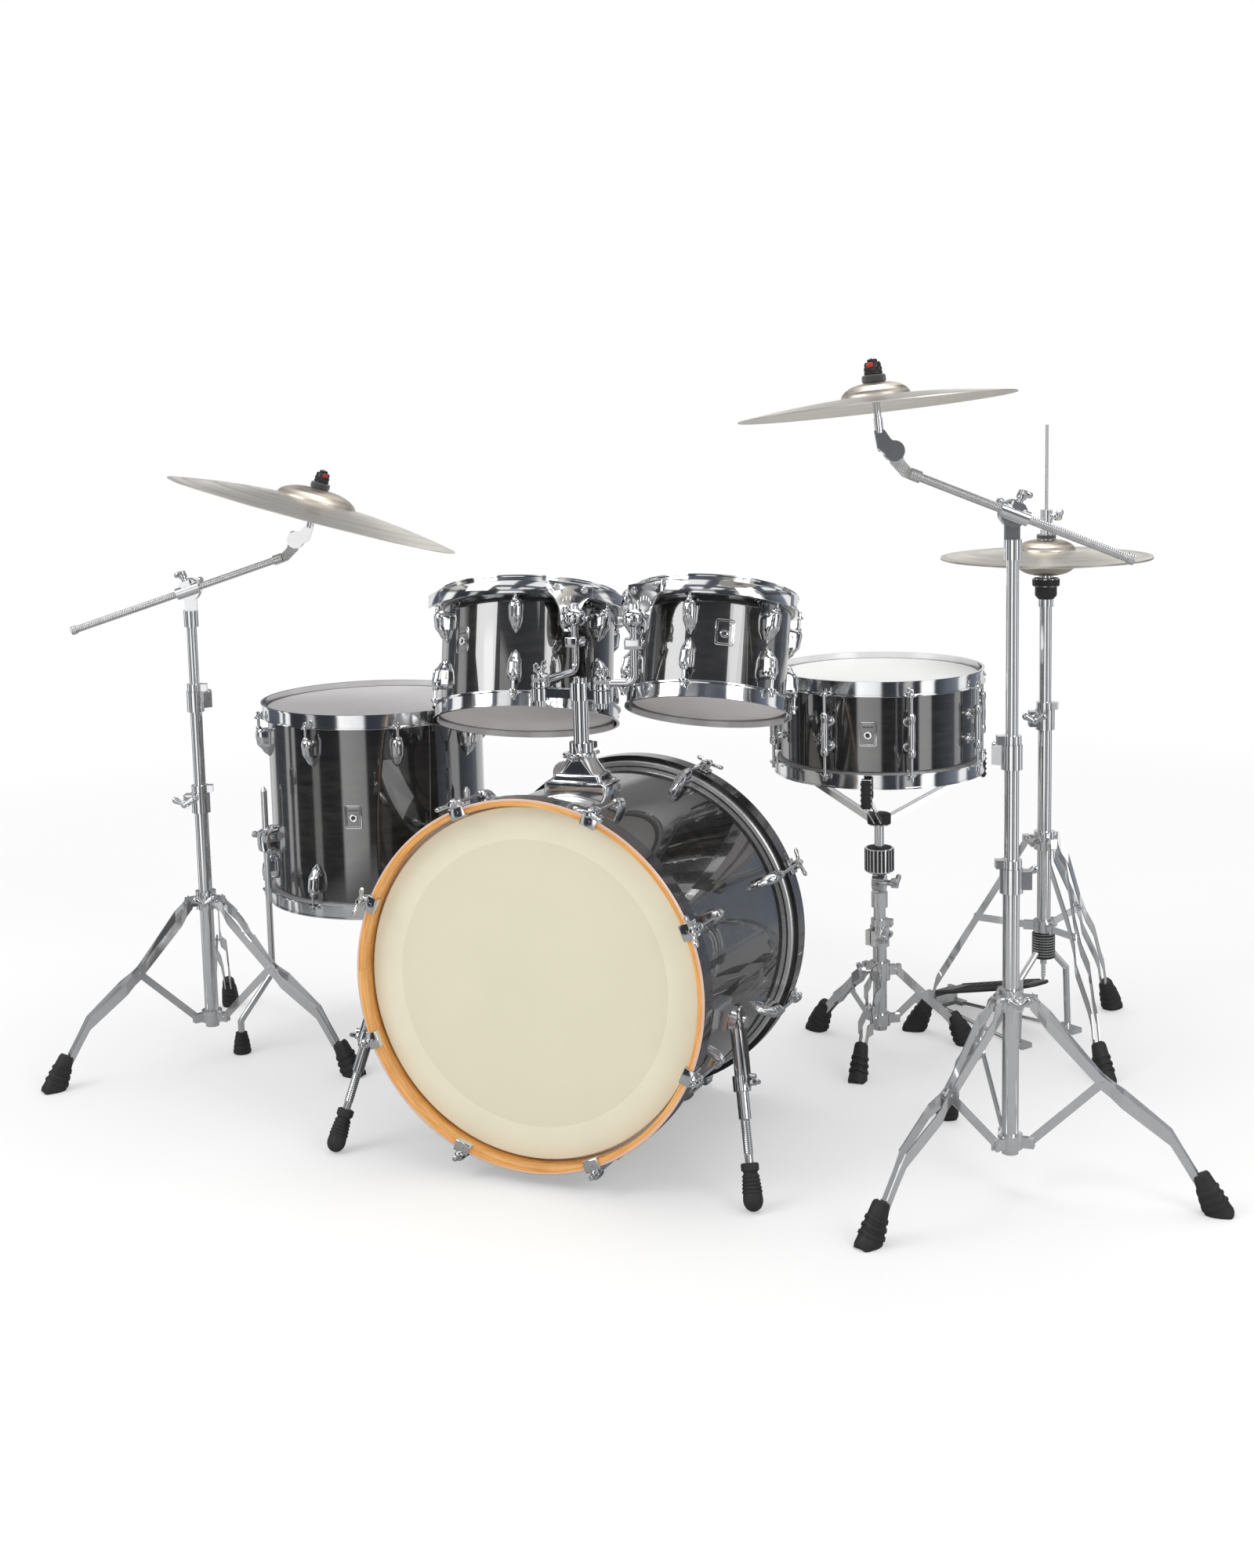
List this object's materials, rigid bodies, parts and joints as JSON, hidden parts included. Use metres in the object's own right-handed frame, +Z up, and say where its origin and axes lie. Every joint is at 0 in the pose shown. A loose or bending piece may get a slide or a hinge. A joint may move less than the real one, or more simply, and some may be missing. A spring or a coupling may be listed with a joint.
{
  "type": "acoustic drum kit",
  "caption": "Acoustic drum kit with bass drum, rack toms, floor tom, snare drum, hi-hat and boom cymbal stands.",
  "frame": {"origin": "on the floor under the middle of the kit", "axes": "+Z up, +X to the right as the audience sees the kit, +Y away from the audience"},
  "size_m": [2.067, 1.2644, 1.2744],
  "materials": {
    "shell_lacquer": "transparent black burst lacquer over wood grain, high gloss",
    "amber_wood": "amber maple plies, gloss lacquer",
    "black_wood": "black gloss lacquer",
    "cream_head": "coated film, satin",
    "white_head": "coated film, satin",
    "chrome": "polished chrome plate",
    "cymbal_bronze": "polished pale bronze, finely lathed",
    "black_rubber": "moulded, matt",
    "grey_felt": "dense wool felt",
    "black_metal": "black powder coat",
    "steel_wire": "coiled steel wire"
  },
  "bodies": {
    "kit": {"bass_shell": "shell_lacquer", "bass_hoop_front": "amber_wood", "bass_hoop_rear": "black_wood", "bass_heads": "cream_head", "bass_lugs": "chrome", "bass_claws": "chrome", "spur_brackets": "chrome", "tom_mount_base": "chrome", "floor_tom_legs": "chrome", "snare_stand_tripod": "chrome", "rubber_feet": "black_rubber", "left_stand_tripod": "chrome", "right_stand_tripod": "chrome", "hihat_tripod": "chrome"},
    "spur_left": {"spur_left": "chrome", "spur_left_foot": "black_rubber"},
    "spur_right": {"spur_right": "chrome", "spur_right_foot": "black_rubber"},
    "floor_tom": {"floor_tom_shell": "shell_lacquer", "floor_tom_hoops": "chrome", "floor_tom_heads": "white_head", "floor_tom_hardware": "chrome"},
    "tom_post": {"tom_post": "chrome"},
    "tom_left_arm": {"tom_left_arm": "chrome"},
    "tom_right_arm": {"tom_right_arm": "chrome"},
    "tom_left": {"tom_left_shell": "shell_lacquer", "tom_left_hoops": "chrome", "tom_left_heads": "white_head", "tom_left_hardware": "chrome"},
    "tom_right": {"tom_right_shell": "shell_lacquer", "tom_right_hoops": "chrome", "tom_right_heads": "white_head", "tom_right_hardware": "chrome"},
    "snare_stand_tube": {"snare_stand_tube": "chrome"},
    "snare": {"snare_basket": "chrome", "snare_shell": "shell_lacquer", "snare_hoops": "chrome", "snare_heads": "white_head", "snare_hardware": "chrome", "snare_wires": "steel_wire"},
    "strainer_lever": {"strainer_lever": "black_metal"},
    "left_mid_tube": {"left_mid_tube": "chrome"},
    "left_upper_tube": {"left_upper_tube": "chrome"},
    "left_boom_clamp": {"left_boom_clamp": "chrome"},
    "left_boom_rod": {"left_boom_rod": "chrome"},
    "left_tilter": {"left_tilter": "chrome", "left_felts": "grey_felt"},
    "ride_cymbal": {"ride_cymbal": "cymbal_bronze"},
    "right_mid_tube": {"right_mid_tube": "chrome"},
    "right_upper_tube": {"right_upper_tube": "chrome"},
    "right_boom_clamp": {"right_boom_clamp": "chrome"},
    "right_boom_rod": {"right_boom_rod": "chrome"},
    "right_tilter": {"right_tilter": "chrome", "right_felts": "grey_felt"},
    "crash_cymbal": {"crash_cymbal": "cymbal_bronze"},
    "hihat_tube": {"hihat_tube": "chrome", "hihat_cymbal_bottom": "cymbal_bronze"},
    "hihat_rod": {"hihat_rod": "chrome", "hihat_cymbal_top": "cymbal_bronze"},
    "hihat_footboard": {"hihat_footboard": "black_metal"}
  },
  "joints": [
    {"name": "spur_left_fold", "type": "hinge", "parent": "kit", "child": "spur_left", "pos_m": [-0.31116, -0.45814, 0.26536], "axis": [-0.9877, -0.0066, -0.1563], "range_deg": [0, 65]},
    {"name": "spur_right_fold", "type": "hinge", "parent": "kit", "child": "spur_right", "pos_m": [0.30516, -0.45814, 0.26536], "axis": [-0.9877, 0.0066, 0.1563], "range_deg": [0, 65]},
    {"name": "floor_tom_height", "type": "slide", "parent": "kit", "child": "floor_tom", "axis": [0, 0, 1], "range_m": [0, 0.06]},
    {"name": "tom_post_height", "type": "slide", "parent": "kit", "child": "tom_post", "axis": [0, 0, 1], "range_m": [0, 0.06]},
    {"name": "tom_left_swivel", "type": "hinge", "parent": "tom_post", "child": "tom_left_arm", "pos_m": [-0.071, -0.326, 0.752], "axis": [0, 0, 1], "range_deg": [-8, 8]},
    {"name": "tom_right_swivel", "type": "hinge", "parent": "tom_post", "child": "tom_right_arm", "pos_m": [0.039, -0.326, 0.752], "axis": [0, 0, 1], "range_deg": [-8, 8]},
    {"name": "tom_left_tilt", "type": "hinge", "parent": "tom_left_arm", "child": "tom_left", "pos_m": [-0.05806, -0.20982, 0.85502], "axis": [-0.9608, -0.2773, 0], "range_deg": [-10, 6]},
    {"name": "tom_right_tilt", "type": "hinge", "parent": "tom_right_arm", "child": "tom_right", "pos_m": [0.09047, -0.31114, 0.86946], "axis": [-0.9952, -0.0976, 0], "range_deg": [-12, 0]},
    {"name": "snare_height", "type": "slide", "parent": "kit", "child": "snare_stand_tube", "axis": [0, 0, 1], "range_m": [0, 0.06]},
    {"name": "snare_tilt", "type": "hinge", "parent": "snare_stand_tube", "child": "snare", "pos_m": [0.354, 0.218, 0.322], "axis": [1, 0, 0], "range_deg": [-6, 6]},
    {"name": "strainer_throw", "type": "hinge", "parent": "snare", "child": "strainer_lever", "pos_m": [0.15874, 0.18638, 0.6389], "axis": [-0.9871, -0.1599, 0], "range_deg": [0, 80]},
    {"name": "left_mid_height", "type": "slide", "parent": "kit", "child": "left_mid_tube", "axis": [0, 0, 1], "range_m": [0, 0.12]},
    {"name": "left_upper_height", "type": "slide", "parent": "left_mid_tube", "child": "left_upper_tube", "axis": [0, 0, 1], "range_m": [0, 0.1]},
    {"name": "left_boom_tilt", "type": "hinge", "parent": "left_upper_tube", "child": "left_boom_clamp", "pos_m": [-0.83, -0.202, 0.886], "axis": [0.3827, -0.9239, 0], "range_deg": [-4, 35]},
    {"name": "left_boom_slide", "type": "slide", "parent": "left_boom_clamp", "child": "left_boom_rod", "axis": [0.8797, 0.3644, 0.3057], "range_m": [-0.05, 0.06]},
    {"name": "left_cymbal_tilt", "type": "hinge", "parent": "left_boom_rod", "child": "left_tilter", "pos_m": [-0.64043, -0.13481, 0.97354], "axis": [0.3621, -0.9298, 0.0664], "range_deg": [-4, 24]},
    {"name": "ride_spin", "type": "hinge", "parent": "left_tilter", "child": "ride_cymbal", "pos_m": [-0.60714, -0.12348, 1.02597], "axis": [0.2393, 0.1616, 0.9574], "continuous": true},
    {"name": "right_mid_height", "type": "slide", "parent": "kit", "child": "right_mid_tube", "axis": [0, 0, 1], "range_m": [0, 0.12]},
    {"name": "right_upper_height", "type": "slide", "parent": "right_mid_tube", "child": "right_upper_tube", "axis": [0, 0, 1], "range_m": [0, 0.1]},
    {"name": "right_boom_tilt", "type": "hinge", "parent": "right_upper_tube", "child": "right_boom_clamp", "pos_m": [0.708, -0.339, 1.043], "axis": [-0.3827, 0.9239, 0], "range_deg": [-25, 35]},
    {"name": "right_boom_slide", "type": "slide", "parent": "right_boom_clamp", "child": "right_boom_rod", "axis": [-0.8548, -0.3541, 0.3795], "range_m": [-0.05, 0.06]},
    {"name": "right_cymbal_tilt", "type": "hinge", "parent": "right_boom_rod", "child": "right_tilter", "pos_m": [0.54866, -0.41612, 1.13918], "axis": [-0.409, 0.9096, -0.0726], "range_deg": [-15, 20]},
    {"name": "crash_spin", "type": "hinge", "parent": "right_tilter", "child": "crash_cymbal", "pos_m": [0.527, -0.4267, 1.19754], "axis": [-0.1082, 0.0307, 0.9937], "continuous": true},
    {"name": "hihat_height", "type": "slide", "parent": "kit", "child": "hihat_tube", "axis": [0, 0, 1], "range_m": [0, 0.08]},
    {"name": "hihat_open", "type": "slide", "parent": "hihat_tube", "child": "hihat_rod", "axis": [0, 0, 1], "range_m": [0, 0.04]},
    {"name": "pedal_turn", "type": "hinge", "parent": "kit", "child": "hihat_footboard", "pos_m": [0.39822, 0.52681, 0.022], "axis": [-0.5329, -0.8462, 0], "range_deg": [0, 9]}
  ],
  "couplings": [
    {"joint": "pedal_turn", "follows": "hihat_open", "rad_per_m": 3.75}
  ]
}
